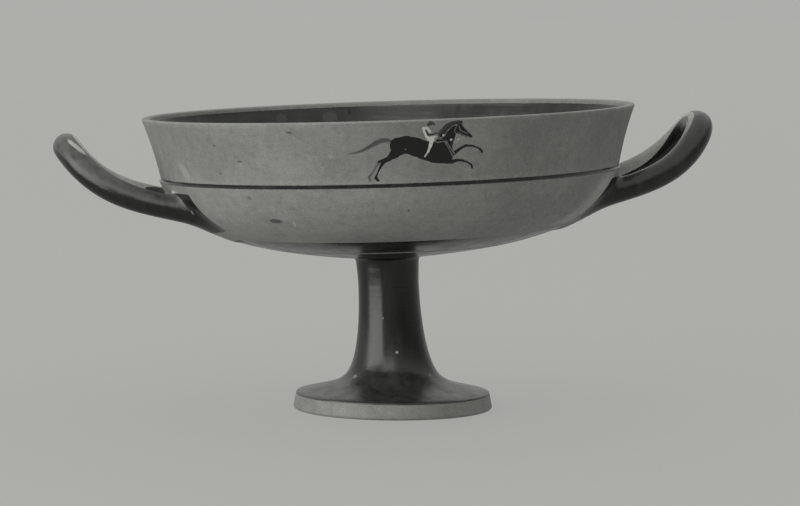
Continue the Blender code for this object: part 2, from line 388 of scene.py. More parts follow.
def stand(points):
    """Where points of the upright cup stand: level foot, bending stem, leaning bowl."""
    x, y, height = points.T
    settled = np.clip((height - STEM_TOP) / BOWL_SETTLE, 0, 1)
    bowl = lean_over(points, STEM_SHIFT + (BOWL_SHIFT - STEM_SHIFT) * settled, BOWL_LEAN)
    grown = np.clip((height - FOOT_TOP) / STEM_LENGTH, 0, 1)
    stem = np.stack([STEM_SHIFT * grown + x * np.cos(BOWL_LEAN * grown), y,
                     height + x * np.sin(BOWL_LEAN * grown)], -1)
    return np.where((height >= STEM_TOP)[:, None], bowl, stem)


def loop_point(side, reach, angle):
    """The bar's middle and radius at an angle round the loop: a U in plan, steeper towards its tip."""
    out = max(0.0, math.cos(angle)) ** LOOP_FULLNESS
    across = math.copysign(abs(math.sin(angle)) ** LOOP_FULLNESS, angle)
    climb = sum(share * out ** power for power, share in CLIMB_SHARES)
    middle = (side * (HANDLE_ROOT_REACH + (reach - HANDLE_ROOT_REACH) * out), HANDLE_HALF_WIDTH * across,
              ROOT_HEIGHT + HANDLE_RISE * climb)
    radius = BAR_ROOT_RADIUS + (BAR_TIP_RADIUS - BAR_ROOT_RADIUS) * out
    return middle, radius + ROOT_SPREAD * (1 - out) ** ROOT_SPREAD_POWER


def loop_path(side, reach):
    """The whole bar from tail to tail, as an array of middles and one of radii."""
    loop = [loop_point(side, reach, math.pi * (i / BAR_STEPS - 0.5)) for i in range(BAR_STEPS + 1)]
    tail = []
    for i in range(1, TAIL_STEPS + 1):
        run = i / TAIL_STEPS
        radius = (BAR_ROOT_RADIUS + ROOT_SPREAD) * (1 - run) + TAIL_RADIUS * run
        tail.append((side * (HANDLE_ROOT_REACH - TAIL_LENGTH * run), ROOT_HEIGHT - TAIL_DROP * run, radius))
    front = [((x, -HANDLE_HALF_WIDTH, z), radius) for x, z, radius in reversed(tail)]
    back = [((x, HANDLE_HALF_WIDTH, z), radius) for x, z, radius in tail]
    path = front + loop + back
    return np.array([middle for middle, radius in path]), np.array([radius for middle, radius in path])


def loop_frame(middles):
    """At each point of the bar, sideways and upwards across it, turning smoothly."""
    run = np.concatenate([[0], np.cumsum(np.linalg.norm(np.diff(middles, axis=0), axis=1))])
    nearness = np.exp(-((run[:, None] - run[None, :]) / BEND_SOFTNESS) ** 2)
    steps = np.gradient(middles, axis=0)
    along = nearness @ steps
    along /= np.linalg.norm(along, axis=1)[:, None]
    flat = np.hypot(along[:, 0], along[:, 1])
    sideways = np.stack([along[:, 1] / flat, -along[:, 0] / flat, np.zeros(len(flat))], -1)
    upward = np.stack([-along[:, 2] * along[:, 0] / flat, -along[:, 2] * along[:, 1] / flat, flat], -1)
    return sideways, upward


def mesh_object(name, points, faces):
    """A new mesh in the scene."""
    mesh = bpy.data.meshes.new(name)
    mesh.from_pydata([tuple(p) for p in points], [], faces)
    made = bpy.data.objects.new(name, mesh)
    bpy.context.scene.collection.objects.link(made)
    return made


def ring_faces(rings, count):
    """The four-sided faces between rings of as many points each."""
    faces = []
    for i in range(rings - 1):
        for j in range(count):
            k = (j + 1) % count
            faces.append((i * count + j, i * count + k, (i + 1) * count + k, (i + 1) * count + j))
    return faces


def turned(name, outline):
    """A body of revolution, closed at both ends of its outline by a fan."""
    angles = 2 * math.pi * np.arange(TURNS) / TURNS
    points = [np.stack([r * np.cos(angles), r * np.sin(angles), np.full(TURNS, h)], -1) for r, h in outline]
    faces = ring_faces(len(outline), TURNS)
    first = len(outline) * TURNS
    ends = [(0.0, 0.0, outline[0][1]), (0.0, 0.0, outline[-1][1])]
    last = (len(outline) - 1) * TURNS
    for j in range(TURNS):
        k = (j + 1) % TURNS
        faces.append((first, k, j))
        faces.append((first + 1, last + j, last + k))
    return mesh_object(name, np.concatenate(points + [np.array(ends)]), faces)


def bar(name, middles, radii):
    """A round bar along the path, its ends capped."""
    sideways, upward = loop_frame(middles)
    angles = (-2 * math.pi * np.arange(BAR_SIDES) / BAR_SIDES)[None, :, None]
    round_it = np.cos(angles) * sideways[:, None] + np.sin(angles) * upward[:, None]
    rings = middles[:, None] + radii[:, None, None] * round_it
    faces = ring_faces(len(middles), BAR_SIDES)
    faces.append(tuple(reversed(range(BAR_SIDES))))
    faces.append(tuple((len(middles) - 1) * BAR_SIDES + j for j in range(BAR_SIDES)))
    return mesh_object(name, rings.reshape(-1, 3), faces)


def combined(body, tool, operation):
    """The body joined to or cut by a helper body, which is then removed."""
    step = body.modifiers.new(tool.name, "BOOLEAN")
    step.operation = operation
    step.solver = "MANIFOLD"
    step.object = tool
    bpy.context.view_layer.update()
    evaluated = body.evaluated_get(bpy.context.evaluated_depsgraph_get())
    mesh = bpy.data.meshes.new_from_object(evaluated)
    body.modifiers.clear()
    body.data = mesh
    bpy.data.objects.remove(tool, do_unlink=True)
    return body


def coordinates(mesh):
    """The mesh's points, as an array."""
    flat = np.zeros(len(mesh.vertices) * 3)
    mesh.vertices.foreach_get("co", flat)
    return flat.reshape(-1, 3)


def place(mesh, points):
    """Moves the mesh's points to new places."""
    mesh.vertices.foreach_set("co", points.astype(np.float32).ravel())
    mesh.update()


def outline_distance(points, outline):
    """Distance of points from a turned outline, signed by side, and how far along it they are nearest."""
    spot = np.stack([np.hypot(points[:, 0], points[:, 1]), points[:, 2]], -1)
    start = np.array(outline[:-1])
    step = np.array(outline[1:]) - start
    best = np.full(len(points), np.inf)
    where = np.zeros(len(points))
    side = np.ones(len(points))
    lengths = np.linalg.norm(step, axis=1)
    run = np.concatenate([[0], np.cumsum(lengths)])
    for i in range(len(step)):
        if lengths[i] < TINY:
            continue
        offset = spot - start[i]
        t = np.clip(offset @ step[i] / lengths[i] ** 2, 0, 1)
        gap = offset - t[:, None] * step[i]
        size = np.hypot(gap[:, 0], gap[:, 1])
        nearer = size < best
        best = np.where(nearer, size, best)
        where = np.where(nearer, run[i] + t * lengths[i], where)
        turn = step[i][1] * offset[:, 0] - step[i][0] * offset[:, 1]
        side = np.where(nearer, np.sign(turn), side)
    return best * side, where


def bar_distance(points, middles, radii):
    """Distance of points from a bar's surface, and which stretch of its path is nearest."""
    best = np.full(len(points), np.inf)
    nearest = np.zeros(len(points), int)
    for i in range(len(middles) - 1):
        step = middles[i + 1] - middles[i]
        offset = points - middles[i]
        t = np.clip(offset @ step / (step @ step), 0, 1)
        radius = radii[i] + t * (radii[i + 1] - radii[i])
        size = np.linalg.norm(offset - t[:, None] * step, axis=1) - radius
        nearer = size < best
        best = np.where(nearer, size, best)
        nearest = np.where(nearer, i, nearest)
    return best, nearest


def near_root(points):
    """Distances from the bowl's outside and from the nearer handle's bar."""
    bowl = outline_distance(points, BOWL_OUTER)[0]
    bars = [bar_distance(points, middles, radii)[0] for middles, radii in LOOPS]
    return bowl, np.minimum(*bars)


def fillet_reach(points):
    """Reach of the smeared clay, fuller under the roots."""
    heights = (ROOT_HEIGHT - FILLET_CHANGE, ROOT_HEIGHT + FILLET_CHANGE)
    return np.interp(points[:, 2], heights, (ROOT_FILLET_BELOW, ROOT_FILLET))


def smeared(points):
    """How far points stand off the bowl and bars once the clay between them is smeared smooth."""
    return blend_distance(*near_root(points), fillet_reach(points))


def at_root(points, margin):
    """Which points of the surface lie within the smeared clay's reach, times a margin."""
    bowl, bars = near_root(points)
    return (np.minimum(bowl, bars) > -ON_SURFACE) & (np.maximum(bowl, bars) < fillet_reach(points) * margin)


def smear_roots(body):
    """Makes the mesh finer round the handles' roots and draws it out into a fillet."""
    edit = bmesh.new()
    edit.from_mesh(body.data)
    for turn in range(CUT_ROUNDS):
        near = at_root(np.array([v.co for v in edit.verts]), CUT_MARGIN)
        edit.verts.index_update()
        long_edges = [e for e in edit.edges if near[e.verts[0].index] and near[e.verts[1].index]
                      and e.calc_length() > ROOT_EDGE]
        bmesh.ops.subdivide_edges(edit, edges=long_edges, cuts=1)
        bmesh.ops.triangulate(edit, faces=[f for f in edit.faces if len(f.verts) > 4])
    edit.to_mesh(body.data)
    points = coordinates(body.data)
    chosen = np.nonzero(at_root(points, SMEAR_MARGIN))[0]
    edit.verts.ensure_lookup_table()
    neighbours = [[e.other_vert(edit.verts[i]).index for e in edit.verts[i].link_edges] for i in chosen]
    edit.free()
    for turn in range(SMEAR_ROUNDS):
        evened = np.array([points[n].mean(axis=0) for n in neighbours])
        moved = points[chosen] * (1 - EVENING) + evened * EVENING
        for step in range(SETTLE_STEPS):
            moved = settle(moved)
        points[chosen] = moved
    place(body.data, points)
    clean(body)


def clean(body):
    """Closes up faces with no area."""
    edit = bmesh.new()
    edit.from_mesh(body.data)
    bmesh.ops.dissolve_degenerate(edit, dist=TOO_SMALL, edges=edit.edges)
    edit.to_mesh(body.data)
    edit.free()


def settle(points):
    """Moves points onto the smeared surface."""
    gap = smeared(points)
    slope = np.stack([smeared(points + PROBE * axis) - gap for axis in np.eye(3)], -1) / PROBE
    size = np.maximum((slope ** 2).sum(axis=1), LEAST_SLOPE)
    return points - (gap / size)[:, None] * slope


def around(points):
    """Millimetres along the lip to the right of the middle of the front."""
    return np.arctan2(points[:, 0], -points[:, 1]) * (SHOULDER_RADIUS + RIM_RADIUS) / 2 * 1000


def refine_figure(body):
    """Makes the mesh under the painted figure fine enough to carry its edges, and rounds it again."""
    edit = bmesh.new()
    edit.from_mesh(body.data)
    middles = np.array([f.calc_center_median() for f in edit.faces])
    radius = np.hypot(middles[:, 0], middles[:, 1])
    height = middles[:, 2]
    low = SHOULDER + SHOULDER_STEP
    high = RIM - RIM_OUTER_ROUND
    outside = radius > SHOULDER_RADIUS - SHOULDER_STEP * 2
    chosen = outside & (np.abs(around(middles)) < FIGURE_HALF) & (height > low) & (height < high)
    faces = [f for f, wanted in zip(edit.faces, chosen) if wanted]
    edges = list({e for f in faces for e in f.edges})
    bmesh.ops.subdivide_edges(edit, edges=edges, cuts=FIGURE_CUTS, use_grid_fill=True)
    edit.to_mesh(body.data)
    edit.free()
    points = coordinates(body.data)
    radius = np.hypot(points[:, 0], points[:, 1])
    lip = np.array([p for p in LIP_OUTER if low - SLACK < p[1] < high + SLACK])
    true_radius = np.interp(points[:, 2], lip[:, 1], lip[:, 0])
    beside_lip = (points[:, 2] > lip[0, 1]) & (points[:, 2] < lip[-1, 1])
    on_lip = beside_lip & (np.abs(radius - true_radius) < ON_SURFACE)
    grown = np.where(on_lip, true_radius / radius, 1.0)
    points[:, 0] *= grown
    points[:, 1] *= grown
    place(body.data, points)


def band(where, start, end):
    """Distance along an outline from a stretch of it, negative within."""
    return np.maximum(start - where, where - end)


def outline_place(outline, axis, value, first=0):
    """How far along an outline its radius (axis 0) or height (axis 1) passes a value."""
    run = np.concatenate([[0], np.cumsum(np.linalg.norm(np.diff(np.array(outline), axis=0), axis=1))])
    for i in range(first, len(outline) - 1):
        a = outline[i][axis]
        b = outline[i + 1][axis]
        if a != b and min(a, b) <= value <= max(a, b):
            return run[i] + (run[i + 1] - run[i]) * (value - a) / (b - a)
    raise ValueError(value)


def slip_on_turned(points):
    """Distance from the black slip on the turned surfaces, negative within it, and from the cup's outside."""
    outer, on_outer = outline_distance(points, OUTER)
    inner, on_inner = outline_distance(points, INNER)
    stem_start = len(foot_outline())
    lap = outline_place(OUTER, 1, FOOT_EDGE - FOOT_GLOSS_LAP, HOLLOW_POINTS)
    underside = outline_place(OUTER, 1, UNDERSIDE_GLOSS_TOP, stem_start)
    ring = outline_place(OUTER, 0, RING_RADIUS, stem_start + len(stem_outline()))
    line = outline_place(OUTER, 1, LINE_HEIGHT, stem_start)
    bare_ring = band(on_outer, ring - RING_HALF_WIDTH, ring + RING_HALF_WIDTH)
    foot_and_stem = np.maximum(band(on_outer, lap, underside), -bare_ring)
    line_under_lip = band(on_outer, line - LINE_HALF_WIDTH, line + LINE_HALF_WIDTH)
    hollow = band(on_outer, -FAR, outline_place(OUTER, 0, HOLLOW_RADIUS * HOLLOW_GLOSS_SHARE))
    outside = np.minimum(np.minimum(foot_and_stem, line_under_lip), hollow)
    from_middle = np.hypot(points[:, 0], points[:, 1])
    tondo = np.minimum(np.abs(from_middle - TONDO_CIRCLE) - TONDO_CIRCLE_HALF, from_middle - TONDO_DOT)
    inside = np.minimum(band(on_inner, INNER_BAND, outline_place(INNER, 0, TONDO_RADIUS)), tondo)
    on_cup = np.where(np.abs(outer) <= np.abs(inner), outside, inside)
    off_cup = np.minimum(np.abs(outer), np.abs(inner))
    return np.maximum(on_cup, off_cup - TURNED_SLIP_REACH), np.abs(outer)


def slip_on_handles(points):
    """Distance from the black slip on the handles and round their roots, negative within it."""
    best = np.full(len(points), FAR)
    for side, (middles, radii) in zip((-1, 1), LOOPS):
        sideways, upward = loop_frame(middles)
        gap, nearest = bar_distance(points, middles, radii)
        offset = points - middles[nearest]
        inward = -side * (offset * sideways[nearest]).sum(axis=1)
        up = (offset * upward[nearest]).sum(axis=1)
        behind = points[:, 1] > 0
        turn = np.abs(np.arctan2(up, inward) - np.where(behind, PANEL_MIDDLE_BEHIND, PANEL_MIDDLE))
        turn = np.minimum(turn, 2 * math.pi - turn)
        from_tip = np.abs(nearest / (len(radii) - 1) - 0.5) * 2
        half = np.interp(from_tip, PANEL_STOPS, PANEL_HALVES)
        half = np.where(behind, np.interp(from_tip, PANEL_STOPS, PANEL_HALVES_BEHIND), half)
        in_loop = (nearest >= TAIL_STEPS) & (nearest < len(radii) - 1 - TAIL_STEPS)
        half = np.where(in_loop, half, -1.0)
        panel = (half - turn) * radii[nearest]
        into_tail = np.maximum(TAIL_STEPS - nearest, nearest - (len(radii) - 1 - TAIL_STEPS)) / TAIL_STEPS
        collar = ROOT_COLLAR + ROOT_COLLAR_BELOW * np.clip(-up / radii[nearest], 0, 1)
        collar = collar - TAIL_COLLAR_LOSS * np.clip(into_tail, 0, 1)
        best = np.minimum(best, np.maximum(gap - collar, panel))
    return best


def slip_under_handles(points):
    """Distance from the black on the bowl round each handle's roots, with a bare panel between them."""
    x, y, height = points.T
    patch = np.maximum(np.abs(y) - PATCH_HALF_WIDTH, height - PATCH_TOP)
    corner = np.clip((np.abs(y) - HANDLE_HALF_WIDTH) / (PATCH_HALF_WIDTH - HANDLE_HALF_WIDTH), 0, 1)
    patch = np.maximum(patch, PATCH_FOOT + PATCH_CORNER * corner - height)
    panel = np.maximum(np.abs(y) - ROOT_PANEL_HALF, ROOT_PANEL_FOOT - height)
    patch = np.maximum(np.maximum(patch, -panel), PATCH_REACH - np.abs(x))
    return np.maximum(patch, np.abs(outline_distance(points, BOWL_OUTER)[0]) - ROOT_SLIP_REACH)


def strokes(spots, joints, soft=TINY):
    """Distance from a limb of joints, each (along, up, half width) in millimetres."""
    best = np.full(len(spots), np.inf)
    for start, end in zip(joints, joints[1:]):
        a = np.array(start)
        b = np.array(end)
        step = b[:2] - a[:2]
        offset = spots - a[:2]
        t = np.clip(offset @ step / max(step @ step, TINY), 0, 1)
        size = np.linalg.norm(offset - t[:, None] * step, axis=1) - (a[2] + t * (b[2] - a[2]))
        best = blend_distance(best, size, soft)
    return best


def blend_distance(first, second, soft):
    """The smaller of two distances, with a rounded inner corner."""
    close = np.maximum(soft - np.abs(first - second), 0) / soft
    return np.minimum(first, second) - close ** 2 * soft / 4


def several(spots, limbs, soft=TINY):
    """Distance from the nearest of some limbs."""
    best = np.full(len(spots), np.inf)
    for limb in limbs:
        best = blend_distance(best, strokes(spots, limb, soft), soft)
    return best


# The galloping horse and its rider: joints as (along, up, half width), in millimetres from the middle of the
# front and from the line under the lip
BARREL = ((-9.4, 16.2, 3.2), (-5.9, 16.4, 3.2), (-2.4, 15.4, 3.4), (1.2, 13.9, 3.4), (5.2, 12.8, 3.7),
          (8.7, 12.2, 3.6), (9.8, 11.9, 3.3))
NECK = ((8.4, 14.8, 3.9), (9.9, 18.3, 2.9), (11.6, 21.2, 2.1), (13.4, 23.1, 1.5))
HEAD = ((14.3, 23.4, 1.4), (15.1, 22.1, 1.4), (17.0, 20.7, 1.0), (18.8, 19.4, 0.7), (20.0, 18.7, 0.5))
JAW = ((13.8, 21.5, 1.0), (16.2, 19.8, 0.5), (18.4, 18.6, 0.3))
EAR = ((15.2, 24.4, 0.5), (15.8, 25.2, 0.15))
THIGH = ((-9.0, 14.8, 2.7), (-10.8, 12.9, 1.8), (-13.1, 11.1, 1.0), (-15.6, 9.5, 0.6))
FAR_THIGH = ((-13.1, 11.5, 0.6), (-17.1, 9.9, 0.5))
SHANK = ((-15.6, 9.3, 0.75), (-16.4, 8.2, 0.55), (-17.5, 6.2, 0.3), (-18.4, 4.3, 0.3), (-18.6, 3.4, 0.65),
         (-17.7, 2.3, 0.5))
NEAR_FORELEG = ((10.4, 9.5, 1.4), (12.3, 8.9, 0.85), (15.0, 9.4, 0.55), (17.4, 9.1, 0.4), (19.3, 8.4, 0.33),
                (20.9, 7.3, 0.4), (21.4, 6.1, 0.42))
FAR_FORELEG = ((13.0, 12.0, 0.8), (15.5, 13.9, 0.55), (17.9, 15.1, 0.5), (20.8, 14.9, 0.36),
               (23.2, 14.1, 0.33), (24.4, 13.3, 0.4), (25.2, 12.3, 0.5))
FAR_SHANK = ((-17.3, 9.6, 0.6), (-18.1, 8.3, 0.4), (-18.9, 7.0, 0.4), (-20.1, 5.3, 0.4), (-21.4, 3.8, 0.65),
             (-21.0, 2.3, 0.45))
TAIL = ((-11.6, 17.9, 0.5), (-13.7, 18.5, 0.8), (-15.9, 18.3, 0.95), (-18.1, 17.4, 0.95), (-20.9, 15.9, 0.75),
        (-23.6, 14.5, 0.6), (-26.3, 13.7, 0.4), (-29.3, 13.4, 0.15))
MANE = ((6.6, 19.8, 0.5), (7.9, 21.2, 1.0), (9.7, 23.1, 1.1), (11.8, 24.3, 0.85), (14.2, 24.8, 0.7),
        (15.7, 24.4, 0.5))
RIDER_HEAD = ((2.6, 24.2, 0.75), (3.3, 24.5, 0.85))
RIDER_HAIR = ((2.9, 25.4, 0.4), (3.6, 24.9, 0.7), (4.9, 24.1, 0.4))
TORSO = ((0.5, 22.7, 0.4), (1.1, 21.4, 0.5), (1.9, 19.7, 0.6), (2.8, 18.5, 0.7))
SLEEVE = ((0.6, 22.9, 0.35), (2.1, 22.8, 0.38), (3.1, 21.4, 0.4), (3.3, 20.9, 0.25))
SEAT = ((2.8, 18.5, 0.7), (3.9, 18.6, 0.75), (5.0, 19.0, 0.42), (5.7, 19.4, 0.2))
LEG = ((4.1, 18.1, 0.9), (3.5, 15.7, 0.65), (2.7, 13.4, 0.38), (1.3, 11.3, 0.22))
FOREARM = ((1.5, 21.7, 0.25), (2.5, 19.9, 0.32), (4.1, 20.1, 0.25), (6.4, 20.7, 0.2))
REINS = (((6.3, 19.6, 0.1), (7.5, 18.7, 0.1), (9.0, 19.3, 0.1), (9.8, 21.0, 0.1), (11.9, 23.2, 0.1),
          (14.0, 23.8, 0.1)),
         ((5.7, 19.4, 0.08), (6.6, 18.3, 0.08), (8.2, 18.2, 0.08)))
BRIDLE = (((14.0, 23.8, 0.1), (13.3, 22.2, 0.1), (12.9, 21.1, 0.1), (13.7, 20.0, 0.1)),
          ((14.6, 23.3, 0.08), (15.4, 21.2, 0.08), (18.5, 19.9, 0.08)),
          ((14.8, 20.6, 0.1), (16.7, 19.3, 0.1), (18.8, 18.6, 0.1)))
STRAPS = (((5.1, 17.2, 0.1), (6.5, 16.9, 0.1), (8.9, 17.2, 0.1)),
          ((8.9, 17.5, 0.12), (10.6, 15.0, 0.12), (12.9, 11.0, 0.12)),
          ((9.8, 17.4, 0.12), (11.3, 15.2, 0.12), (13.8, 11.6, 0.12)))
STUDS = ((8.6, 19.7, 0.4), (11.8, 17.7, 0.5), (14.8, 17.8, 0.35), (-6.3, 14.5, 0.2))
# How softly its parts run together, and how much fuller two of them are, in millimetres
SOFT = {"trunk": 1.4, "hip": 0.9, "thigh": 0.5, "cheek": 0.4, "head": 0.3, "leg": 0.25, "hair": 0.3,
        "rider": 0.3}
TAIL_FULLER = 0.15
SHANK_FULLER = 0.1


def ride_masks(points, off_outer):
    """Distances in millimetres from each colour of the painted horse and rider."""
    spots = np.stack([around(points), (points[:, 2] - LINE_HEIGHT) * 1000], -1)
    off_lip = np.where(off_outer < ON_SURFACE, 0.0, FIGURE_FAR)
    trunk = several(spots, (BARREL, NECK), SOFT["trunk"])
    black = blend_distance(trunk, strokes(spots, THIGH, SOFT["thigh"]), SOFT["hip"])
    black = blend_distance(black, several(spots, (HEAD, JAW), SOFT["head"]), SOFT["cheek"])
    black = np.minimum(black, several(spots, (EAR, SHANK, FAR_THIGH, NEAR_FORELEG, FAR_FORELEG), SOFT["leg"]))
    forearm = strokes(spots, FOREARM)
    rider = np.maximum(several(spots, (TORSO, SLEEVE, SEAT, LEG), SOFT["rider"]), -forearm)
    studs = np.min([np.hypot(spots[:, 0] - u, spots[:, 1] - v) - r for u, v, r in STUDS], axis=0)
    tail = strokes(spots, TAIL, SOFT["hair"]) - TAIL_FULLER
    masks = {
        "horse": np.minimum(black, forearm),
        "wash": np.minimum(tail, strokes(spots, FAR_SHANK) - SHANK_FULLER),
        "dusk": np.minimum(strokes(spots, MANE, SOFT["hair"]), several(spots, (RIDER_HEAD, RIDER_HAIR))),
        "white": np.minimum(rider, studs),
        "lines": several(spots, REINS + BRIDLE + STRAPS),
    }
    return {name: mask + off_lip for name, mask in masks.items()}


# Marks of wear, and one painted highlight: middle in millimetres, turn and tilt in degrees, half sizes, tone,
# strength
MARKS = (
    # dark smear with a pale chip, low on the bowl
    ((-53.5, -70.2, 85.5), -37, 0, (3.0, 3.0, 1.0), 0.060, 0.90),
    ((-46.2, -73.8, 84.6), -32, 10, (0.4, 1.5, 1.6), 0.400, 0.70),
    # dark specks and scratches on the lip and the bowl
    ((-50.3, -90.3, 122.1), -29, 8, (1.3, 1.0, 0.3), 0.040, 0.90),
    ((-68.4, -71.8, 109.6), -44, 0, (1.2, 1.0, 0.35), 0.060, 0.85),
    ((-78.1, -64.2, 115.6), -51, 0, (0.9, 1.0, 0.4), 0.070, 0.80),
    ((-75.2, -62.1, 104.2), -50, 0, (0.7, 1.0, 0.4), 0.080, 0.80),
    ((-64.4, -70.3, 94.9), -42, 0, (0.9, 1.0, 0.7), 0.110, 0.70),
    ((-2.6, -92.9, 91.3), -2, 0, (0.5, 1.0, 0.5), 0.040, 0.85),
    # painted highlight: pale streak at the lip's left end, where light glints on the clay
    ((-88.4, -40.6, 103.7), -65, 46, (5.0, 3.0, 2.4), 0.320, 0.50),
    # black chip inside the far rim
    ((-4.1, 100.3, 123.6), 0, 0, (0.9, 2.5, 1.8), 0.003, 1.00),
    # pale pits in the slip of the stem and the foot
    ((3.4, -15.5, 25.6), 0, 0, (0.6, 1.0, 0.6), 0.400, 0.90),
    ((-13.8, -9.8, 14.7), -50, 0, (1.0, 1.0, 0.9), 0.260, 0.80),
    ((18.0, -13.2, 15.5), 50, 0, (0.6, 1.0, 0.6), 0.300, 0.80),
    ((-2.3, -12.7, 40.0), -10, 0, (0.4, 1.0, 0.4), 0.240, 0.80),
    # pale chips on the left handle at its root, and a pale line along the edge of its tip
    ((-91.2, -25.2, 94.4), -10, 0, (2.2, 2.0, 0.8), 0.420, 0.90),
    ((-93.7, -13.5, 93.5), -20, 0, (1.3, 1.5, 0.9), 0.260, 0.70),
    ((-84.8, -32.6, 86.4), -30, 60, (1.1, 1.0, 0.3), 0.200, 0.80),
    ((-132.0, -14.5, 112.7), -44, 30, (6.0, 1.4, 0.6), 0.420, 0.80),
    # dull patches inside the far wall
    ((-36.5, 92.8, 120.6), 20, 0, (3.0, 3.0, 2.0), 0.055, 0.70),
    ((-13.4, 98.8, 121.0), 8, 0, (3.5, 3.0, 2.4), 0.060, 0.70),
)


class Nodes:
    """The node tree of a material or world, with short ways to add nodes."""

    def __init__(self, owner, coordinate):
        owner.use_nodes = True
        self.tree = owner.node_tree
        self.spot = self.add("ShaderNodeTexCoord").outputs[coordinate]

    def add(self, kind, inputs=(), **settings):
        node = self.tree.nodes.new(kind)
        for key, value in settings.items():
            setattr(node, key, value)
        for key, value in dict(inputs).items():
            self.give(node.inputs[key], value)
        return node

    def give(self, socket, value):
        if isinstance(value, bpy.types.NodeSocket):
            self.tree.links.new(value, socket)
        else:
            socket.default_value = value

    def attribute(self, name):
        return self.add("ShaderNodeAttribute", attribute_name=name).outputs["Fac"]

    def noise(self, scale, detail, stretch, roughness):
        spot = self.spot
        if stretch:
            spot = self.add("ShaderNodeVectorMath", {0: spot, 1: stretch}, operation="MULTIPLY").outputs[0]
        node = self.add("ShaderNodeTexNoise", {"Vector": spot, "Scale": scale, "Detail": detail,
                                               "Roughness": roughness})
        return node.outputs["Fac"]

    def mark(self, middle, turn, tilt, half_sizes, ragged):
        """1 within a small oval mark with a ragged edge, 0 outside it."""
        turned_spot = self.add("ShaderNodeMapping", {"Vector": self.spot}, vector_type="TEXTURE")
        turned_spot.inputs["Location"].default_value = [c / 1000 for c in middle]
        turned_spot.inputs["Rotation"].default_value = (0, math.radians(tilt), math.radians(turn))
        turned_spot.inputs["Scale"].default_value = [c / 1000 for c in half_sizes]
        far = self.add("ShaderNodeVectorMath", {0: turned_spot.outputs[0]}, operation="LENGTH")
        return self.ranged(self.math("ADD", far.outputs["Value"], ragged), *MARK_EDGE)

    def math(self, operation, first, second):
        return self.add("ShaderNodeMath", {0: first, 1: second}, operation=operation).outputs[0]

    def wobble(self, noise, size):
        """The noise as a shift to either side."""
        return self.math("MULTIPLY", self.math("SUBTRACT", noise, 0.5), size)

    def ranged(self, value, low, high, to_low=0.0, to_high=1.0):
        return self.add("ShaderNodeMapRange", {"Value": value, "From Min": low, "From Max": high,
                                               "To Min": to_low, "To Max": to_high}).outputs["Result"]

    def mix(self, share, first, second):
        node = self.add("ShaderNodeMix", {"Factor": share}, data_type="RGBA")
        self.give(node.inputs[6], first)
        self.give(node.inputs[7], second)
        return node.outputs[2]


def tone(value):
    """A faintly olive grey."""
    return (value * RED_LEFT, value, value * BLUE_LEFT, 1.0)


def painted_clay():
    """Bare fired clay, lightened by painted light in places, black slip with its sheen, paler in places as
    worn slip with painted sheen, and the figure's paints.
    """
    material = bpy.data.materials.new("painted_clay")
    n = Nodes(material, "Object")
    noises = {name: n.noise(*values) for name, values in NOISES.items()}
    # thinned, paler slip: wear, and a painted sheen on the foot's top and the handles' upper sides
    thin_and_sheen = n.math("MULTIPLY", n.attribute("thin_and_sheen"), n.ranged(noises["blotches"], *THIN_AND_SHEEN_RANGE))

    clay = n.mix(n.ranged(noises["mottle"], *MOTTLE_RANGE), tone(CLAY_DARK), tone(CLAY_LIGHT))
    for name, start, full, cover, value in CLAY_LAYERS:
        clay = n.mix(n.ranged(noises[name], start, full, 0.0, cover), clay, tone(value))
    # the clay's tone in places, with painted light on the handles' panels, a painted highlight over the line
    # and a painted rim light by the right roots
    clay = n.add("ShaderNodeVectorMath", {0: clay, 3: n.attribute("tone_and_light")}, operation="SCALE").outputs[0]
    slip = n.mix(n.ranged(noises["streaks"], *STREAK_RANGE), tone(SLIP_BLACK), tone(SLIP_THIN))
    slip = n.mix(thin_and_sheen, slip, tone(SLIP_WORN_AND_SHEEN))
    edge = n.math("ADD", n.attribute("slip"), n.wobble(noises["worn"], SLIP_WOBBLE))
    black = n.ranged(edge, SLIP_EDGE, -SLIP_EDGE)
    colour = n.mix(black, clay, slip)

    laid = {}
    for name, (start, full, cover, value) in FIGURE_PAINTS.items():
        edge = n.math("ADD", n.attribute(name), n.wobble(noises["worn"], FIGURE_WOBBLE))
        laid[name] = n.ranged(edge, start, full, 0.0, cover)
        colour = n.mix(laid[name], colour, tone(value))

    ragged = n.wobble(noises["grain"], MARK_WOBBLE)
    chipped = 0.0
    for middle, turn, tilt, half_sizes, value, strength in MARKS:
        within = n.math("MULTIPLY", n.mark(middle, turn, tilt, half_sizes, ragged), strength)
        colour = n.mix(within, colour, tone(value))
        chipped = n.math("MAXIMUM", within, chipped)

    clay_roughness = n.ranged(noises["grain"], *SURFACE_RANGE, *CLAY_ROUGHNESS)
    slip_roughness = n.ranged(noises["streaks"], *SURFACE_RANGE, *SLIP_ROUGHNESS)
    slip_roughness = n.math("ADD", slip_roughness, n.math("MULTIPLY", thin_and_sheen, THIN_ROUGHNESS))
    glossy = n.math("MULTIPLY", n.math("MAXIMUM", black, laid["horse"]), n.math("SUBTRACT", 1.0, chipped))
    wheel = n.math("MULTIPLY", noises["wheel"], WHEEL_RELIEF)
    height = n.math("ADD", wheel, n.math("MULTIPLY", noises["grain"], GRAIN_RELIEF))
    bump = n.add("ShaderNodeBump", {"Height": height, "Strength": RELIEF_STRENGTH, "Distance": RELIEF_DEPTH})
    shader = n.tree.nodes["Principled BSDF"]
    n.give(shader.inputs["Base Color"], colour)
    n.give(shader.inputs["Roughness"], n.ranged(glossy, 0.0, 1.0, clay_roughness, slip_roughness))
    n.give(shader.inputs["Normal"], bump.outputs["Normal"])
    n.give(shader.inputs["IOR"], SURFACE_IOR)
    return material


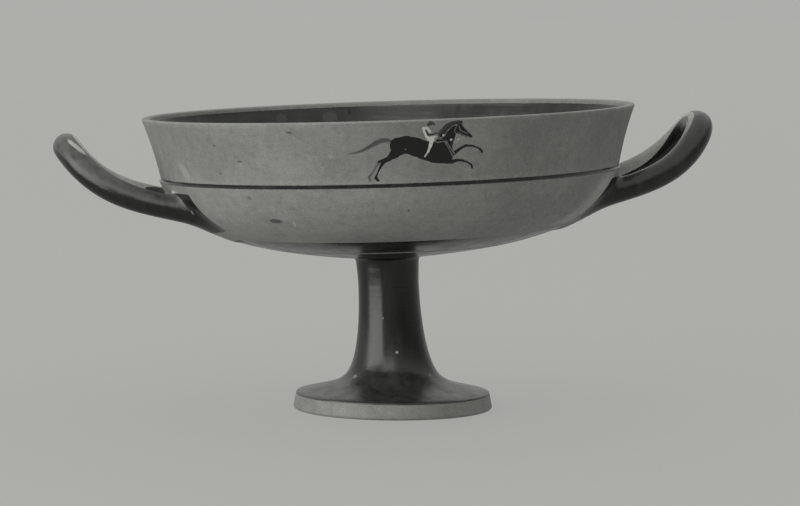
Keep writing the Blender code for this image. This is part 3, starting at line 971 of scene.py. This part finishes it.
def make_cup():
    """The whole cup, still upright: turned body, handles joined and smeared on."""
    core = [(r + WALL_MIDDLE * (r > 0), h - WALL_MIDDLE) for r, h in reversed(INNER) if h < RIM - WALL_MIDDLE]
    body = turned("painted_kylix", OUTER + INNER[1:-1])
    for name, loop in zip(("left_handle", "right_handle"), LOOPS):
        handle = combined(bar(name, *loop), turned("core", core[1:]), "DIFFERENCE")
        body = combined(body, handle, "UNION")
    smear_roots(body)
    refine_figure(body)
    return body


def paint(body):
    """The paint's masks, as one number for each point."""
    points = coordinates(body.data)
    slip, off_outer = slip_on_turned(points)
    slip = np.minimum(slip, np.minimum(slip_on_handles(points), slip_under_handles(points)))
    # clay tones with painted light, and thinned slip with painted sheen
    tone_and_light, thin_and_sheen = clay_tones_and_light(points)
    masks = {"slip": slip, "tone_and_light": tone_and_light, "thin_and_sheen": thin_and_sheen, **ride_masks(points, off_outer)}
    for name, values in masks.items():
        made = body.data.attributes.new(name, "FLOAT", "POINT")
        made.data.foreach_set("value", values.astype(np.float32))


def clay_tones_and_light(points):
    """How light the bare clay is in each part of the cup, with painted light on the handles' panels, a
    painted highlight over the line under the lip and a painted rim light beside the right roots; and how far
    the slip is thinned, with a painted sheen on the foot's top and the handles' upper sides.
    """
    x, y, height = points.T
    outer = np.abs(outline_distance(points, OUTER)[0])
    inner = np.abs(outline_distance(points, INNER)[0])
    heights = (FOOT_TOP, STEM_TOP, LINE_HEIGHT - LINE_HALF_WIDTH, LINE_HEIGHT + LINE_HALF_WIDTH)
    tone_and_light = np.interp(height, heights, (FOOT_SHADE, 1.0, 1.0, LIP_SHADE))
    tone_and_light = np.where(inner < outer, INNER_SHADE, tone_and_light)
    # painted highlight: paler clay just over the line under the lip
    glint = np.clip(1 - np.abs(height - LINE_HEIGHT - GLINT_STRIP) / GLINT_STRIP, 0, 1)
    # painted rim light: a paler strip beside the black round the right roots, fading out below the line
    beside = np.abs(np.abs(y) - PATCH_HALF_WIDTH - RIM_LIGHT_WIDTH / 2) / (RIM_LIGHT_WIDTH / 2)
    rim_light = np.interp(beside, RIM_LIGHT_EDGE, (1.0, 0.0)) * (x > 0) * (height > PATCH_FOOT)
    rim_light = rim_light * np.clip((LINE_HEIGHT - height) / RIM_LIGHT_FADE, 0, 1)
    tone_and_light = tone_and_light * (1 + RIM_LIGHT_LIFT * rim_light) * (1 + GLINT_LIFT * glint)
    # thinned, paler slip on the foot: wear, and a painted sheen
    thin_and_sheen = np.interp(height, (FOOT_EDGE, FOOT_TOP, FOOT_TOP + FOOT_THIN_AND_SHEEN_FADE), (FOOT_THIN_AND_SHEEN, FOOT_THIN_AND_SHEEN, 0.0))
    for side, (middles, radii) in enumerate(LOOPS):
        upward = loop_frame(middles)[1]
        gap, nearest = bar_distance(points, middles, radii)
        up = ((points - middles[nearest]) * upward[nearest]).sum(axis=1) / radii[nearest]
        on_bar = (gap < ROOT_COLLAR) & (inner > ON_SURFACE)
        # painted light: the bare clay on the handles is made lighter where light falls on it
        panel = np.interp(y, (-PANEL_LIGHT_BLEND, PANEL_LIGHT_BLEND), PANEL_PAINTED_LIGHT[side])
        tone_and_light = np.where(on_bar, panel, tone_and_light)
        # thinned, paler slip on each handle's upper side: wear, and a painted sheen of the light from above,
        # strongest on the left handle
        thin_and_sheen = np.where(on_bar, HANDLE_THIN_AND_SHEEN[side] * np.clip(up / THIN_AND_SHEEN_EDGE, 0, 1), thin_and_sheen)
    return tone_and_light, thin_and_sheen


def make_floor():
    """A wide pale floor, seen but lighting nothing."""
    angles = 2 * math.pi * np.arange(FLOOR_SIDES) / FLOOR_SIDES
    rings = [np.stack([r * np.cos(angles), r * np.sin(angles), 0 * angles], -1) for r in FLOOR_RADII]
    faces = ring_faces(len(rings), FLOOR_SIDES) + [tuple(reversed(range(FLOOR_SIDES)))]
    floor = mesh_object("floor", np.concatenate(rings), [tuple(reversed(f)) for f in faces])
    floor.data.shade_smooth()
    pale = bpy.data.materials.new("pale_floor")
    pale.use_nodes = True
    inputs = pale.node_tree.nodes["Principled BSDF"].inputs
    inputs["Base Color"].default_value = tone(FLOOR_TONE)
    inputs["Roughness"].default_value = FLOOR_ROUGHNESS
    inputs["Emission Color"].default_value = tone(1.0)
    inputs["Emission Strength"].default_value = FLOOR_GLOW
    floor.data.materials.append(pale)
    floor.visible_glossy = False
    floor.visible_diffuse = False
    floor.visible_shadow = False
    return floor


def make_light(name, azimuth, elevation, distance, width, height, power):
    """A soft rectangular light looking at the cup."""
    a = math.radians(-90 - azimuth) - CAMERA_TURN
    e = math.radians(elevation)
    place_at = Vector((math.cos(a) * math.cos(e), math.sin(a) * math.cos(e), math.sin(e))) * distance
    lamp = bpy.data.lights.new(name, "AREA")
    lamp.shape = "RECTANGLE"
    lamp.size = width
    lamp.size_y = height
    lamp.energy = power
    lamp.color = tone(1.0)[:3]
    made = bpy.data.objects.new(name, lamp)
    made.location = place_at + Vector((0, 0, LIGHT_AIM))
    made.rotation_euler = (-place_at).to_track_quat("-Z", "Y").to_euler()
    bpy.context.scene.collection.objects.link(made)


def make_world():
    """Pale surroundings: bright ceiling, dim room in front and to the right, plain grey for the camera."""
    world = bpy.data.worlds.new("studio")
    n = Nodes(world, "Generated")
    dim_side = Matrix.Rotation(-CAMERA_TURN, 3, "Z") @ Vector(DIM_SIDE).normalized()
    facing = n.add("ShaderNodeVectorMath", {0: n.spot, 1: dim_side}, operation="DOT_PRODUCT").outputs["Value"]
    rise = n.add("ShaderNodeSeparateXYZ", {0: n.spot}).outputs["Z"]
    wall = n.ranged(facing, *WALL_TURN, WALL_BRIGHT, WALL_DIM)
    above = n.ranged(rise, *CEILING_EDGE, wall, CEILING)
    light = n.tree.nodes["Background"]
    n.give(light.inputs["Color"], tone(1.0))
    n.give(light.inputs["Strength"], n.ranged(rise, -HORIZON, HORIZON, GROUND, above))
    seen = n.add("ShaderNodeBackground", {"Color": tone(BACKGROUND)}).outputs[0]
    from_camera = n.add("ShaderNodeLightPath").outputs["Is Camera Ray"]
    mix = n.add("ShaderNodeMixShader", {0: from_camera, 1: light.outputs[0], 2: seen}).outputs[0]
    n.give(n.tree.nodes["World Output"].inputs["Surface"], mix)
    bpy.context.scene.world = world


def make_camera():
    """The photograph's viewpoint."""
    foot_x = stand(np.array([[0.0, 0.0, 0.0]]))[0, 0] - BOX_MIDDLE
    turn = Matrix.Rotation(-CAMERA_TURN, 3, "Z")
    across = turn @ Vector((1, 0, 0))
    forward = turn @ Vector((0, math.cos(CAMERA_PITCH), -math.sin(CAMERA_PITCH)))
    upward = across.cross(forward)
    rolled_across = math.cos(CAMERA_ROLL) * across + math.sin(CAMERA_ROLL) * upward
    rolled_upward = math.cos(CAMERA_ROLL) * upward - math.sin(CAMERA_ROLL) * across
    lens = bpy.data.cameras.new("camera")
    lens.sensor_width = SENSOR
    lens.lens = FOCAL_PIXELS * SENSOR / IMAGE_WIDTH
    made = bpy.data.objects.new("camera", lens)
    place_at = Vector((foot_x, 0, 0)) + turn @ Vector((CAMERA_ASIDE, -CAMERA_DISTANCE, CAMERA_HEIGHT))
    axes = Matrix((rolled_across, rolled_upward, -forward)).transposed().to_4x4()
    made.matrix_world = Matrix.Translation(place_at) @ axes
    bpy.context.scene.collection.objects.link(made)
    bpy.context.scene.camera = made


HOLLOW_POINTS = STEPS["hollow"] * (len(HOLLOW_SECTION) - 1)
OUTER = foot_outline() + stem_outline() + underside_outline() + lip_outline()
INNER = inner_outline()
BOWL_OUTER = [(STEM_TOP_RADIUS, STEM_TOP)] + underside_outline() + lip_outline()
LIP_OUTER = lip_outline()
LOOPS = [loop_path(-1, LEFT_REACH), loop_path(1, RIGHT_REACH)]
TIP_ENDS = []
for side, (middles, radii) in zip((-1, 1), LOOPS):
    tip = len(radii) // 2
    TIP_ENDS.append(stand(middles[tip:tip + 1])[0, 0] + side * radii[tip])
BOX_MIDDLE = sum(TIP_ENDS) / 2

cup = make_cup()
paint(cup)
place(cup.data, stand(coordinates(cup.data)) - np.array([BOX_MIDDLE, 0, 0]))
cup.data.shade_smooth()
cup.data.set_sharp_from_angle(angle=SHARP_ANGLE)
cup.data.materials.clear()
cup.data.materials.append(painted_clay())
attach(cup, "root")
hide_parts("kylix")

make_floor()
make_camera()
for light_name, light_values in LIGHTS.items():
    make_light(light_name, *light_values)
make_world()
bpy.context.scene.view_settings.view_transform = "Standard"
